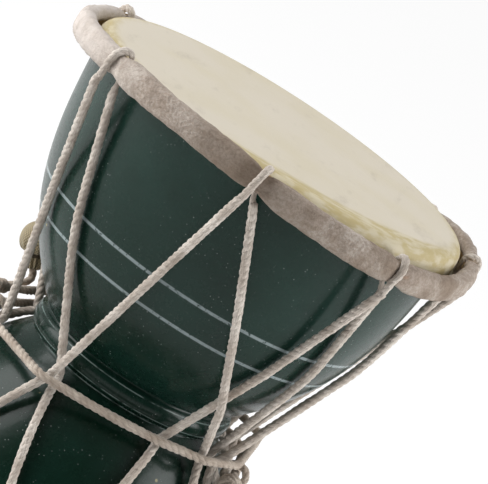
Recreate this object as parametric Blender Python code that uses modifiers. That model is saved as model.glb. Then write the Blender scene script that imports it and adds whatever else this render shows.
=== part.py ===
"""Damaru: an hourglass hand drum with two laced heads and two swinging strikers.

Sizes are in metres. Heights are measured along the drum's axis from its mid-plane,
which an empty lifts until the lower head lies on the ground. Azimuths are in degrees:
0 faces -Y, and they grow towards +X.
"""

import math
from typing import NamedTuple

import bmesh
import bpy
import numpy as np
from mathutils import Matrix, Vector

# Faceting of turned pieces, and the clearance between pieces that touch
SEGMENTS = 32
SMALL_SEGMENTS = 12
GAP = 0.0003
MERGE = 0.00001

# Turned wooden shell: one bowl, mirrored at the mid-plane
SHELL_HALF_HEIGHT = 0.0777
RIM_RADIUS = 0.0571
RIM_SLOPE = 0.10
RIM_ROUND = 0.0014
KNEE_HEIGHT = 0.0277
KNEE_RADIUS = 0.0473
KNEE_SLOPE = 0.46
FOOT_HEIGHT = 0.0057
FOOT_RADIUS = 0.0318
FOOT_SLOPE = 0.95
WAIST_BEAD_RADIUS = 0.0315
WAIST_BEAD_HALF = 0.0024
WAIST_GROOVE_RADIUS = 0.0294
WAIST_GROOVE_HEIGHT = 0.0034
WALL = 0.005
NECK_BORE_RADIUS = 0.021
NECK_BORE_HALF = 0.008
NECK_BORE_SLOPE = 0.6

# Hide heads, and the lap that rolls each hide's edge round its cane hoop
SKIN = 0.0008
HEAD_ROUND = 0.0020
FLOOR_ROUND = 0.0008
HOOP_STANDOFF = 0.0054
HOOP_HALF_WIDTH = 0.00135
HOOP_HALF_HEIGHT = 0.0029
LAP_END_DEG = 110.0
LAP_STEP_DEG = 40.0
UPPER_ROLL_DROP = 0.0024
LOWER_ROLL_DROP = 0.0077

# How the lacing has drawn the upper roll out of true, as (azimuth, rise) round the rim
UPPER_ROLL_RISES = (
    (-95.0, -0.0013),
    (-45.0, 0.0020),
    (-10.0, 0.0019),
    (17.0, 0.0004),
    (35.0, -0.0012),
    (62.0, -0.0041),
    (80.0, -0.0031),
    (112.0, -0.0001),
    (140.0, -0.0037),
    (180.0, -0.0053),
    (222.0, -0.0045),
    (244.0, -0.0012),
)
LOWER_ROLL_RISES = ((0.0, 0.0),)

# Lacing: a twisted cotton rope through the same eight hole places on both heads
ROPE_RADIUS = 0.00155
HOLE_AZIMUTHS = (-47.0, 2.0, 45.0, 96.0, 133.0, 170.0, 207.0, 244.0)
UNDER_FIRST_HOLE = 3
WRAP_DEGREES = (-36.0, 0.0, 36.0, 72.0, 106.0)
LEG_SPREAD = 1.6
HOLE_PINCH = 0.60
HOLE_CLEARANCE = 0.00035
HOLE_SEGMENTS = 8
WAIST_AZIMUTHS_A = (-26.0, 30.0, 66.0, 116.0, 152.0, 189.0, 226.0, 289.0)
WAIST_AZIMUTHS_B = (-26.0, 52.0, 61.5, 116.0, 152.0, 189.0, 226.0, 248.0)
LACING_WAIST_HEIGHT = -0.0055
SLACK_LEG = 7
SLACK_LEG_LIFT = 0.0050
LACING_KNOT_LENGTH = 0.0095
LACING_KNOT_RADIUS = 0.0031
LACING_KNOT_PLACE = 0.012
CROSSING_GAP = 0.0005
LEG_POINTS = (10, 36)
WAIST_POINTS = (194,)
TAUT_ROUNDS = 120
CROSSING_ROUNDS = 12
THIN_TOLERANCE = 0.00012

# Waist cord: from its first end behind the left side, round the back, across the
# front and round the back again to the waist knot, as (azimuth, height) along the way
WAIST_ROUTE = (
    (-100.0, -0.0032),
    (-116.0, -0.0038),
    (-180.0, -0.0022),
    (-262.0, -0.0008),
    (-298.0, -0.0026),
    (-332.0, -0.0042),
    (-386.0, -0.0058),
    (-430.0, -0.0070),
    (-473.0, -0.0076),
    (-640.0, -0.0080),
    (-650.0, -0.0082),
)
WAIST_STEP_DEG = 3.0
WAIST_KNOT_LENGTH = 0.0105
WAIST_KNOT_RADIUS = 0.0036
TAIL_KNOT_LENGTH = 0.0060
TAIL_KNOT_RADIUS = 0.0023
KNOT_TURNS = 3

# Strikers: a cloth-covered bead on a cord, hitched round the waist cord
STRIKER_CORD_RADIUS = 0.00125
BEAD_RADIUS = 0.0041
COVER_WALL = 0.0008
COVER_NECK_LENGTH = 0.0085
COVER_NECK_WALL = 0.0007
BINDING_RADIUS = 0.00045
BINDING_PLACE = 0.0044
HITCH_A_AZIMUTH = -86.0 - 360.0
HITCH_B_AZIMUTH = 80.0 - 720.0
STRIKER_A_BALL = (-0.0423, 0.0235, 0.0092)
STRIKER_A_ROUTE = (
    (-0.0486, -0.0024, -0.0072),
    (-0.0486, 0.0032, -0.0070),
    (-0.0468, 0.0080, -0.0064),
    (-0.0436, 0.0145, -0.0054),
    (-0.0402, 0.0200, -0.0042),
    (-0.0378, 0.0237, -0.0018),
)
STRIKER_B_BALL = (0.0703, -0.0124, -0.0712)
STRIKER_B_ROUTE = (
    (0.0483, -0.0085, -0.0200),
    (0.0546, -0.0096, -0.0330),
    (0.0601, -0.0106, -0.0450),
    (0.0649, -0.0114, -0.0545),
)
CORD_STEP = 0.0045
SWIVEL_GAP = 0.0009
SWIVEL_TAPER = 0.56


class Head(NamedTuple):
    """One of the two drum heads: its side of the mid-plane and where its roll lies."""

    name: str
    side: int
    roll: float
    rises: tuple


UPPER = Head("upper", 1, SHELL_HALF_HEIGHT - UPPER_ROLL_DROP, UPPER_ROLL_RISES)
LOWER = Head("lower", -1, SHELL_HALF_HEIGHT - LOWER_ROLL_DROP, LOWER_ROLL_RISES)

HEAD_HEIGHT = SHELL_HALF_HEIGHT + GAP + SKIN
WALL_RADIUS = RIM_RADIUS + GAP + SKIN / 2
HOOP_RADIUS = RIM_RADIUS + HOOP_STANDOFF
LAP_HALF_WIDTH = HOOP_HALF_WIDTH + GAP + SKIN
LAP_HALF_HEIGHT = HOOP_HALF_HEIGHT + GAP + SKIN
PINCHED_RADIUS = ROPE_RADIUS * HOLE_PINCH
HOLE_RADIUS = PINCHED_RADIUS + HOLE_CLEARANCE
HOLE_PLACE = HOOP_RADIUS - HOOP_HALF_WIDTH - HOLE_CLEARANCE - PINCHED_RADIUS
ROPE_APART = 2 * ROPE_RADIUS + CROSSING_GAP
COVER_RADIUS = BEAD_RADIUS + GAP + COVER_WALL
HITCH_RADIUS = ROPE_RADIUS + GAP + STRIKER_CORD_RADIUS


def clear_scene():
    """Removes every object that the file opened with."""
    for piece in list(bpy.data.objects):
        bpy.data.objects.remove(piece, do_unlink=True)


def finish(name, colour, roughness):
    """A plain Principled material."""
    material = bpy.data.materials.new(name)
    material.use_nodes = True
    shader = material.node_tree.nodes["Principled BSDF"]
    shader.inputs["Base Color"].default_value = (*colour, 1.0)
    shader.inputs["Roughness"].default_value = roughness
    shader.inputs["Metallic"].default_value = 0.0
    return material


def place(radius, azimuth, height):
    """A point at an azimuth round the drum's axis."""
    turn = math.radians(azimuth)
    return Vector((radius * math.sin(turn), -radius * math.cos(turn), height))


def hermite(value, start, end):
    """A smooth radius between two (height, radius, slope) stations."""
    span = end[0] - start[0]
    t = (value - start[0]) / span
    rise = t * t * (3 - 2 * t)
    bend = start[2] * t * (1 - t) ** 2 + end[2] * t * t * (t - 1)
    return start[1] + (end[1] - start[1]) * rise + span * bend


FOOT = (FOOT_HEIGHT, FOOT_RADIUS, FOOT_SLOPE)
KNEE = (KNEE_HEIGHT, KNEE_RADIUS, KNEE_SLOPE)
RIM = (SHELL_HALF_HEIGHT, RIM_RADIUS, RIM_SLOPE)
BORE = (NECK_BORE_HALF, NECK_BORE_RADIUS, NECK_BORE_SLOPE)
INNER_KNEE = (KNEE_HEIGHT, KNEE_RADIUS - WALL, KNEE_SLOPE)
INNER_RIM = (SHELL_HALF_HEIGHT, RIM_RADIUS - WALL, RIM_SLOPE)


def bowl_radius(height):
    """The shell's outer radius above the foot of a bowl."""
    if height < KNEE_HEIGHT:
        return hermite(height, FOOT, KNEE)
    return hermite(height, KNEE, RIM)


def shell_radius(height):
    """The shell's outer radius at a height on either side, the waist taken as its bead."""
    level = min(abs(height), SHELL_HALF_HEIGHT)
    if level < FOOT_HEIGHT:
        return max(WAIST_BEAD_RADIUS, FOOT_RADIUS)
    return bowl_radius(level)


def bore_radius(height):
    """The radius of the hollow inside a bowl."""
    if height < KNEE_HEIGHT:
        return hermite(height, BORE, INNER_KNEE)
    return hermite(height, INNER_KNEE, INNER_RIM)


def spaced(first, last, count):
    """Evenly spaced numbers, both ends included."""
    return [first + (last - first) * i / (count - 1) for i in range(count)]


def roll_height(head, azimuth):
    """How far from the mid-plane the middle of a head's roll lies at an azimuth."""
    turns, rises = zip(*head.rises)
    return head.roll + float(np.interp(azimuth, turns, rises, period=360.0))


def turned_mesh(name, profile, closed=False, segments=SMALL_SEGMENTS):
    """Turns a profile of (radius, height) points round the axis into one closed mesh."""
    mesh = bpy.data.meshes.new(name + "_profile")
    edges = [(i, i + 1) for i in range(len(profile) - 1)]
    if closed:
        edges.append((len(profile) - 1, 0))
    mesh.from_pydata([(radius, 0.0, height) for radius, height in profile], edges, [])
    guide = bpy.data.objects.new(name + "_profile", mesh)
    bpy.context.scene.collection.objects.link(guide)
    screw = guide.modifiers.new("turn", "SCREW")
    screw.steps = segments
    screw.render_steps = segments
    screw.use_merge_vertices = True
    screw.merge_threshold = MERGE
    evaluated = guide.evaluated_get(bpy.context.evaluated_depsgraph_get())
    turned = bpy.data.meshes.new_from_object(evaluated)
    turned.name = name
    bpy.data.objects.remove(guide, do_unlink=True)
    bpy.data.meshes.remove(mesh)
    reshape(turned, lambda work: None)
    return turned


def reshape(mesh, change):
    """Runs a change on a mesh, then merges its doubles and points its faces outwards."""
    work = bmesh.new()
    work.from_mesh(mesh)
    change(work)
    bmesh.ops.remove_doubles(work, verts=work.verts, dist=MERGE)
    bmesh.ops.recalc_face_normals(work, faces=work.faces)
    work.to_mesh(mesh)
    work.free()
    mesh.shade_smooth()


def add_piece(name, data, material, parent):
    """Makes a named object of a mesh or curve, on its parent, in the parent's collection."""
    piece = bpy.data.objects.new(name, data)
    data.materials.clear()
    data.materials.append(material)
    parent.users_collection[0].objects.link(piece)
    piece.parent = parent
    return piece


def make_shell(parent, material):
    """The hourglass: two bowls, a waist bead between grooves, and a bore through the neck."""
    half = [
        (RIM_RADIUS - RIM_ROUND, SHELL_HALF_HEIGHT),
        (RIM_RADIUS - RIM_ROUND * 0.3, SHELL_HALF_HEIGHT - RIM_ROUND * 0.3),
    ]
    upper = spaced(SHELL_HALF_HEIGHT - RIM_ROUND, KNEE_HEIGHT, 5)
    lower = spaced(KNEE_HEIGHT, FOOT_HEIGHT, 5)[1:]
    half += [(bowl_radius(height), height) for height in upper + lower]
    half += [
        (WAIST_GROOVE_RADIUS, WAIST_GROOVE_HEIGHT),
        (WAIST_BEAD_RADIUS - WAIST_BEAD_HALF * 0.3, WAIST_BEAD_HALF * 0.75),
    ]
    outer = half + [(WAIST_BEAD_RADIUS, 0.0)] + [(radius, -height) for radius, height in reversed(half)]
    levels = [SHELL_HALF_HEIGHT] + spaced(KNEE_HEIGHT, NECK_BORE_HALF, 4)
    bore = [(bore_radius(height), height) for height in levels]
    inner = [(radius, -height) for radius, height in bore] + list(reversed(bore))
    mesh = turned_mesh("shell", outer + inner, closed=True, segments=SEGMENTS)
    add_piece("shell", mesh, material, parent)


def offset_strip(line, thickness):
    """The two edges of a strip laid along a line of (radius, height) points."""
    ahead = []
    behind = []
    for i, (radius, height) in enumerate(line):
        before = Vector(line[max(i - 1, 0)])
        after = Vector(line[min(i + 1, len(line) - 1)])
        along = (after - before).normalized()
        side = Vector((-along.y, along.x)) * thickness / 2
        ahead.append((radius + side.x, height + side.y))
        behind.append((radius - side.x, height - side.y))
    return ahead, behind


def skin_profile(roll):
    """A head's section: flat membrane, side wall, and the lap that goes round the hoop."""
    top = HEAD_HEIGHT - SKIN / 2
    corner = WALL_RADIUS - HEAD_ROUND
    line = [(corner, top)]
    for degrees in (45.0, 90.0):
        turn = math.radians(degrees)
        line.append((corner + HEAD_ROUND * math.sin(turn), top - HEAD_ROUND * (1 - math.cos(turn))))
    floor = roll - LAP_HALF_HEIGHT + SKIN / 2
    line += [
        (WALL_RADIUS, floor + FLOOR_ROUND),
        (WALL_RADIUS + FLOOR_ROUND * 0.3, floor + FLOOR_ROUND * 0.3),
        (WALL_RADIUS + FLOOR_ROUND, floor),
    ]
    degrees = -90.0
    while degrees <= LAP_END_DEG:
        turn = math.radians(degrees)
        reach = (LAP_HALF_WIDTH - SKIN / 2) * math.cos(turn)
        line.append((HOOP_RADIUS + reach, roll + (LAP_HALF_HEIGHT - SKIN / 2) * math.sin(turn)))
        degrees += LAP_STEP_DEG
    outside, inside = offset_strip(line, SKIN)
    return [(0.0, HEAD_HEIGHT)] + outside + list(reversed(inside)) + [(0.0, HEAD_HEIGHT - SKIN)]


def set_on_side(work, head):
    """Mirrors a head's piece to the lower side."""
    if head.side < 0:
        bmesh.ops.scale(work, vec=(1.0, 1.0, -1.0), verts=work.verts)


def azimuth_of(spot):
    """The azimuth of a point round the drum's axis."""
    return math.degrees(math.atan2(spot.x, -spot.y))


def draw_roll(work, head):
    """Lifts or lowers the roll and the side wall as the lacing has drawn them."""
    crease = HEAD_HEIGHT - SKIN / 2 - HEAD_ROUND
    drop = crease - (head.roll - LAP_HALF_HEIGHT + SKIN / 2 + FLOOR_ROUND)
    for vertex in work.verts:
        spot = vertex.co
        share = 1.0
        if spot.xy.length < WALL_RADIUS + SKIN:
            share = min(max((crease - spot.z) / drop, 0.0), 1.0)
        spot.z += share * (roll_height(head, azimuth_of(spot)) - head.roll)


def make_head(head, parent, cutters, skin_finish, hoop_finish):
    """A hide head with its pierced lap, and the cane hoop inside the lap."""
    mesh = turned_mesh(head.name + "_skin", skin_profile(head.roll), segments=SEGMENTS)

    def seat(work):
        draw_roll(work, head)
        set_on_side(work, head)

    reshape(mesh, seat)
    skin = add_piece(head.name + "_skin", mesh, skin_finish, parent)
    holes = bpy.data.meshes.new(head.name + "_holes")
    work = bmesh.new()
    for azimuth in HOLE_AZIMUTHS:
        middle = place(HOLE_PLACE, azimuth, head.side * roll_height(head, azimuth))
        bmesh.ops.create_cone(
            work,
            cap_ends=True,
            segments=HOLE_SEGMENTS,
            radius1=HOLE_RADIUS,
            radius2=HOLE_RADIUS,
            depth=2 * LAP_HALF_HEIGHT + 4 * SKIN,
            matrix=Matrix.Translation(middle),
        )
    work.to_mesh(holes)
    work.free()
    cutter = bpy.data.objects.new(head.name + "_holes", holes)
    cutters.objects.link(cutter)
    cutter.parent = parent
    cutter.hide_render = True
    cutter.display_type = "WIRE"
    pierce = skin.modifiers.new("lace holes", "BOOLEAN")
    pierce.operation = "DIFFERENCE"
    pierce.object = cutter
    section = []
    for degrees in range(90, -270, -45):
        turn = math.radians(degrees)
        reach = HOOP_HALF_WIDTH * math.cos(turn)
        section.append((HOOP_RADIUS + reach, head.roll + HOOP_HALF_HEIGHT * math.sin(turn)))
    hoop = turned_mesh(head.name + "_hoop", section, closed=True, segments=SEGMENTS)
    reshape(hoop, seat)
    add_piece(head.name + "_hoop", hoop, hoop_finish, parent)


def roll_pass(head, azimuth, under_first):
    """The rope over a roll from outside and down its hole, or back, as points and thickness."""
    middle = roll_height(head, azimuth)
    sense = -1.0 if under_first else 1.0
    wide = LAP_HALF_WIDTH + CROSSING_GAP + ROPE_RADIUS
    tall = LAP_HALF_HEIGHT + CROSSING_GAP + ROPE_RADIUS
    stations = []
    for degrees in WRAP_DEGREES:
        turn = math.radians(degrees)
        aside = LEG_SPREAD * (degrees - WRAP_DEGREES[-1]) / (WRAP_DEGREES[-1] - WRAP_DEGREES[0])
        stations.append((HOOP_RADIUS + wide * math.cos(turn), aside, tall * math.sin(turn), 1.0))
    stations += [
        (HOLE_PLACE, 0.0, LAP_HALF_HEIGHT + GAP, HOLE_PINCH),
        (HOLE_PLACE, 0.0, -LAP_HALF_HEIGHT - GAP, HOLE_PINCH),
        (HOLE_PLACE + ROPE_RADIUS / 2, LEG_SPREAD, -tall - ROPE_RADIUS, 1.0),
    ]
    if under_first:
        stations.reverse()
    spots = []
    for radius, aside, rise, _ in stations:
        spots.append(place(radius, azimuth + sense * aside, head.side * (middle + rise)))
    return np.array(spots), [width for _, _, _, width in stations]


def off_shell(run, radius):
    """Pushes points of a cord out of the shell."""
    out = run.copy()
    for spot in out:
        height = float(spot[2])
        slope = (shell_radius(height + GAP) - shell_radius(height - GAP)) / (2 * GAP)
        least = shell_radius(height) + (radius + GAP) * math.hypot(1.0, slope)
        reach = math.hypot(spot[0], spot[1])
        spot[:2] *= max(1.0, least / reach)
    return out


def off_cords(run, others, apart):
    """Pushes points of a cord out over other cords."""
    if others is None:
        return run
    out = run.copy()
    gaps = np.linalg.norm(out[:, None, :] - others[None, :, :], axis=2).min(axis=1)
    reach = np.hypot(out[:, 0], out[:, 1])
    out[:, :2] *= (1 + np.clip(apart - gaps, 0, None) / reach)[:, None]
    return out


def resampled(run, count):
    """The same run with evenly spaced points."""
    lengths = np.concatenate([[0.0], np.cumsum(np.linalg.norm(np.diff(run, axis=0), axis=1))])
    steps = np.linspace(0.0, lengths[-1], count)
    return np.stack([np.interp(steps, lengths, run[:, axis]) for axis in range(3)], axis=1)


def pull_taut(run, others, counts=LEG_POINTS, keep_heights=False):
    """Shortens a cord between its fixed ends, over the shell and over other cords."""
    taut = run
    for count in counts:
        taut = resampled(taut, count)
        heights = taut[1:-1, 2].copy()
        for _ in range(TAUT_ROUNDS):
            moved = (taut[:-2] + taut[2:]) / 2
            if keep_heights:
                moved[:, 2] = heights
            taut[1:-1] = off_cords(off_shell(moved, ROPE_RADIUS), others, ROPE_APART)
    return taut


def dense(run, step):
    """Points at a close spacing along a run."""
    parts = []
    for start, end in zip(run[:-1], run[1:]):
        count = max(2, int(np.linalg.norm(end - start) / step) + 1)
        parts += [start + (end - start) * t for t in spaced(0.0, 1.0, count)[:-1]]
    return np.array(parts + [run[-1]])


def thin(run, widths):
    """Drops points that lie on the straight line between their neighbours."""
    keep = [0]
    for i in range(1, len(run) - 1):
        start = run[keep[-1]]
        end = run[i + 1]
        along = (end - start) / np.linalg.norm(end - start)
        skipped = run[keep[-1] + 1 : i + 1] - start
        aside = skipped - np.outer(skipped @ along, along)
        if np.linalg.norm(aside, axis=1).max() > THIN_TOLERANCE or widths[i] != 1.0:
            keep.append(i)
    keep.append(len(run) - 1)
    return run[keep], [widths[i] for i in keep]


def lacing_route(first, waists, lifts, others):
    """One lacing rope: down and up through every second hole, drawn in at the waist.

    It starts and ends at its knot, on the leg that reaches over its sixth roll.
    """
    heads = (UPPER, LOWER)
    holes = [(heads[(i + first) % 2], HOLE_AZIMUTHS[i]) for i in range(len(HOLE_AZIMUTHS))]
    passes = []
    for i, (head, azimuth) in enumerate(holes):
        passes.append(roll_pass(head, azimuth, i == UNDER_FIRST_HOLE))
    points = []
    widths = []
    knot_leg = (len(holes) // 2) - first
    order = [(knot_leg + 1 + i) % len(holes) for i in range(len(holes))]
    for i in order:
        spots, thickness = passes[i]
        points.append(spots)
        widths += thickness
        after = passes[(i + 1) % len(holes)][0][0]
        base = shell_radius(LACING_WAIST_HEIGHT) + ROPE_RADIUS + GAP + lifts[i]
        waist = np.array([place(base, waists[i], LACING_WAIST_HEIGHT)])
        for _ in range(CROSSING_ROUNDS):
            waist = off_cords(waist, others, ROPE_APART)
        above = pull_taut(np.vstack([spots[-1:], waist]), others)
        below = pull_taut(np.vstack([waist, after]), others)
        leg = np.vstack([above[1:], below[1:-1]])
        points.append(leg)
        widths += [1.0] * len(leg)
    run = np.vstack(points)
    return knot_in(run, widths)


def knot_in(run, widths):
    """Opens a closed lacing run at its last leg, with room for its knot there."""
    end = run[-1]
    start = run[0]
    along = Vector(start - end).normalized()
    middle = Vector(start) - along * LACING_KNOT_PLACE
    reach = np.array(along) * (LACING_KNOT_LENGTH / 2 + GAP)
    far = np.array(middle) - reach
    near = np.array(middle) + reach
    ahead = (run - far) @ np.array(along) > 0
    tail = len(run)
    while ahead[tail - 1]:
        tail -= 1
    run = np.vstack([near, run[:tail], far])
    widths = [1.0] + widths[:tail] + [1.0]
    run, widths = thin(run, widths)
    return run, widths, middle, along


def tube(name, run, radius, material, parent, widths=None):
    """A round cord through its points, with closed ends."""
    curve = bpy.data.curves.new(name, "CURVE")
    curve.dimensions = "3D"
    curve.bevel_depth = radius
    curve.bevel_resolution = 2
    curve.use_fill_caps = True
    spline = curve.splines.new("POLY")
    spline.points.add(len(run) - 1)
    for i, spot in enumerate(run):
        spline.points[i].co = (*spot, 1.0)
        if widths:
            spline.points[i].radius = widths[i]
    return add_piece(name, curve, material, parent)


def aimed(piece, middle, along):
    """Sets a piece made along +Z at a place, along a direction."""
    piece.location = middle
    piece.rotation_euler = Vector(along).to_track_quat("Z", "Y").to_euler()


def make_knot(name, middle, along, length, radius, parent, material):
    """A barrel knot: turns of rope side by side, drawn tight."""
    profile = [(0.0, length / 2)]
    bulge = length / KNOT_TURNS
    for turn in range(KNOT_TURNS):
        top = length / 2 - turn * bulge
        profile += [(radius * 0.8, top - bulge * 0.1), (radius, top - bulge * 0.35)]
        profile += [(radius, top - bulge * 0.65), (radius * 0.8, top - bulge * 0.9)]
    profile.append((0.0, -length / 2))
    mesh = turned_mesh(name, profile)
    aimed(add_piece(name, mesh, material, parent), middle, along)


def waist_route(lacings):
    """The waist cord's points, drawn tight over the lacing."""
    run = []
    for (from_turn, from_height), (to_turn, to_height) in zip(WAIST_ROUTE[:-1], WAIST_ROUTE[1:]):
        count = max(2, int(abs(to_turn - from_turn) / WAIST_STEP_DEG) + 1)
        for t in spaced(0.0, 1.0, count)[:-1]:
            height = from_height + (to_height - from_height) * t
            run.append((from_turn + (to_turn - from_turn) * t, height))
    run.append(WAIST_ROUTE[-1])
    start = shell_radius(LACING_WAIST_HEIGHT) + 3 * ROPE_APART
    spots = np.array([place(start, turn, height) for turn, height in run])
    return pull_taut(spots, lacings, WAIST_POINTS, keep_heights=True)


def turn_along(run):
    """The azimuth swept by each point of the waist cord, counted on from its first end."""
    turns = [WAIST_ROUTE[0][0]]
    for before, spot in zip(run[:-1], run[1:]):
        step = azimuth_of(Vector(spot)) - azimuth_of(Vector(before))
        turns.append(turns[-1] + (step + 180.0) % 360.0 - 180.0)
    return turns


def seat_on(run, azimuth):
    """Where the waist cord is at a swept azimuth, and which way it runs there."""
    turns = turn_along(run)
    for i in range(len(run) - 1):
        if turns[i] >= azimuth >= turns[i + 1]:
            t = (turns[i] - azimuth) / (turns[i] - turns[i + 1])
            step = Vector(run[i + 1] - run[i])
            return Vector(run[i]) + step * t, step.normalized()
    raise ValueError("the hitch lies off the waist cord")


def least_gap(run, radius):
    """The least gap between turns of a cord that lie more than a quarter turn apart."""
    close = dense(run, radius / 2)
    lengths = np.concatenate([[0.0], np.cumsum(np.linalg.norm(np.diff(close, axis=0), axis=1))])
    far = np.abs(lengths[:, None] - lengths[None, :]) > RIM_RADIUS
    gaps = np.linalg.norm(close[:, None, :] - close[None, :, :], axis=2)
    return gaps[far].min() - 2 * radius


def smooth_route(points):
    """A smooth curve through a cord's own points, read at an even step."""
    stations = [Vector(spot) for spot in points]
    ends = [stations[0] * 2 - stations[1]] + stations + [stations[-1] * 2 - stations[-2]]
    run = []
    for i in range(1, len(ends) - 2):
        before, start, end, after = ends[i - 1 : i + 3]
        count = max(2, int((end - start).length / CORD_STEP) + 1)
        for t in spaced(0.0, 1.0, count + 1)[:-1]:
            slope = (end - before) / 2 * t * (1 - t) ** 2 + (after - start) / 2 * t * t * (t - 1)
            run.append(start + (end - start) * t * t * (3 - 2 * t) + slope)
    run.append(stations[-1])
    return run


def cover_profile():
    """A cloth bag round the bead, gathered to a neck on the cord; +Z points to the neck."""
    neck = STRIKER_CORD_RADIUS + GAP
    collar = neck + COVER_NECK_WALL
    cavity = BEAD_RADIUS + GAP
    mouth = math.acos(neck / cavity)
    outer = [(0.0, -COVER_RADIUS)]
    for degrees in (-55.0, -25.0, 5.0, 30.0):
        turn = math.radians(degrees)
        outer.append((COVER_RADIUS * math.cos(turn), COVER_RADIUS * math.sin(turn)))
    tie = BINDING_PLACE
    outer += [
        (collar + BINDING_RADIUS * 2.0, tie - BINDING_RADIUS),
        (collar + BINDING_RADIUS, tie),
        (collar + BINDING_RADIUS * 2.0, tie + BINDING_RADIUS * 2.0),
        (collar, COVER_NECK_LENGTH),
    ]
    inner = [(neck, COVER_NECK_LENGTH)]
    for turn in spaced(mouth, -math.pi / 2, 8)[:-1]:
        inner.append((cavity * math.cos(turn), cavity * math.sin(turn)))
    return outer + inner + [(0.0, -cavity)]


def make_striker(name, hitch_spot, hitch_along, tight, route, ball, parent, finishes):
    """A striker: the hitch round the waist cord, the cord, and the covered bead.

    A tight hitch stays put and the cord swings just outside it; a loose one turns with the cord.
    """
    leave = Vector(route[0]) - hitch_spot
    leave = (leave - hitch_along * leave.dot(hitch_along)).normalized()
    away = SWIVEL_GAP if tight else GAP
    start = hitch_spot + leave * (HITCH_RADIUS + STRIKER_CORD_RADIUS + away)
    lead = start + leave * STRIKER_CORD_RADIUS * 2
    centre = start if tight else hitch_spot
    pivot = bpy.data.objects.new(name + "_pivot", None)
    parent.users_collection[0].objects.link(pivot)
    pivot.parent = parent
    pivot.location = centre
    ring_section = []
    for degrees in range(90, -270, -45):
        turn = math.radians(degrees)
        spot = (HITCH_RADIUS + STRIKER_CORD_RADIUS * math.cos(turn), STRIKER_CORD_RADIUS * math.sin(turn))
        ring_section.append(spot)
    ring = turned_mesh(name + "_hitch", ring_section, closed=True)
    if tight:
        aimed(add_piece(name + "_hitch", ring, finishes["cord"], parent), hitch_spot, hitch_along)
    else:
        aimed(add_piece(name + "_hitch", ring, finishes["cord"], pivot), Vector(), hitch_along)
    middle = Vector(ball)
    toward = (Vector(route[-1]) - middle).normalized()
    neck = middle + toward * COVER_NECK_LENGTH
    inside = middle + toward * (BEAD_RADIUS + 2 * GAP)
    run = [start] + smooth_route([lead, *route, neck]) + [inside]
    widths = [SWIVEL_TAPER] + [1.0] * (len(run) - 1)
    spots = [spot - centre for spot in run]
    tube(name + "_cord", spots, STRIKER_CORD_RADIUS, finishes["cord"], pivot, widths)
    bead = turned_mesh(name + "_core", bead_profile())
    cover = turned_mesh(name + "_cover", cover_profile())
    tie = turned_mesh(name + "_binding", binding_profile(), closed=True)
    for part, mesh, key in (("core", bead, "bead"), ("cover", cover, "cloth"), ("binding", tie, "thread")):
        piece = add_piece(name + "_" + part, mesh, finishes[key], pivot)
        aimed(piece, middle - centre, toward)
    length = sum((after - before).length for before, after in zip(run[:-1], run[1:]))
    print(f"{name}: cord {length * 1000:.1f} mm, swings about {tuple(round(v, 5) for v in centre)}")
    print(f"{name}: its hitch lies along {tuple(round(v, 4) for v in hitch_along)}")


def bead_profile():
    """The wooden bead inside a striker."""
    turns = [math.radians(degrees) for degrees in (60.0, 30.0, 0.0, -30.0, -60.0)]
    around = [(BEAD_RADIUS * math.cos(turn), BEAD_RADIUS * math.sin(turn)) for turn in turns]
    return [(0.0, BEAD_RADIUS)] + around + [(0.0, -BEAD_RADIUS)]


def binding_profile():
    """The thread tied round a striker's neck."""
    seat = STRIKER_CORD_RADIUS + GAP + COVER_NECK_WALL + BINDING_RADIUS + GAP
    section = []
    for degrees in range(90, -270, -60):
        turn = math.radians(degrees)
        radius = seat + BINDING_RADIUS * (1 + math.cos(turn))
        section.append((radius, BINDING_PLACE + BINDING_RADIUS * math.sin(turn)))
    return section


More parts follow.
